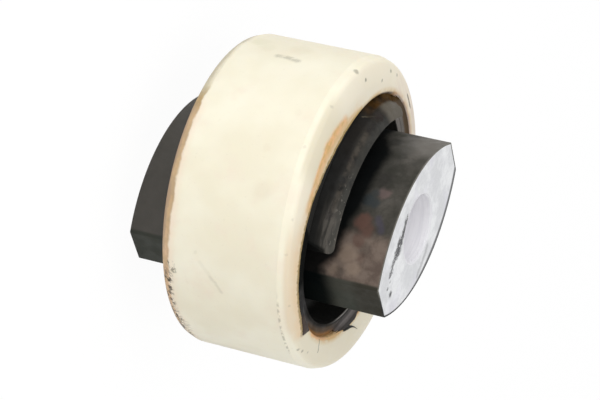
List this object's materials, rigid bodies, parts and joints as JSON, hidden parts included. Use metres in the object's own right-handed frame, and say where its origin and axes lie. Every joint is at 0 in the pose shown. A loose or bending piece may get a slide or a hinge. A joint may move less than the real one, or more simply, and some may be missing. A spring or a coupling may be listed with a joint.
{
  "type": "rubber metal bush",
  "caption": "Press-in suspension arm bush: nylon outer ring, bonded rubber with a raised bump stop, and a lens-shaped aluminium core with a through bolt hole.",
  "frame": {"origin": "centre of the bolt hole at the core's lower end face", "axes": "+Z along the bolt hole towards the upper end face; +X along the long direction of the lens-shaped core; +Y towards the side that carries the bump stops"},
  "size_m": [0.066, 0.066, 0.0558],
  "materials": {
    "nylon": "satin",
    "rubber": "matte",
    "aluminium": "machined"
  },
  "bodies": {
    "root": {"outer_sleeve": "nylon", "rubber_body": "rubber", "inner_core": "aluminium"}
  },
  "joints": []
}
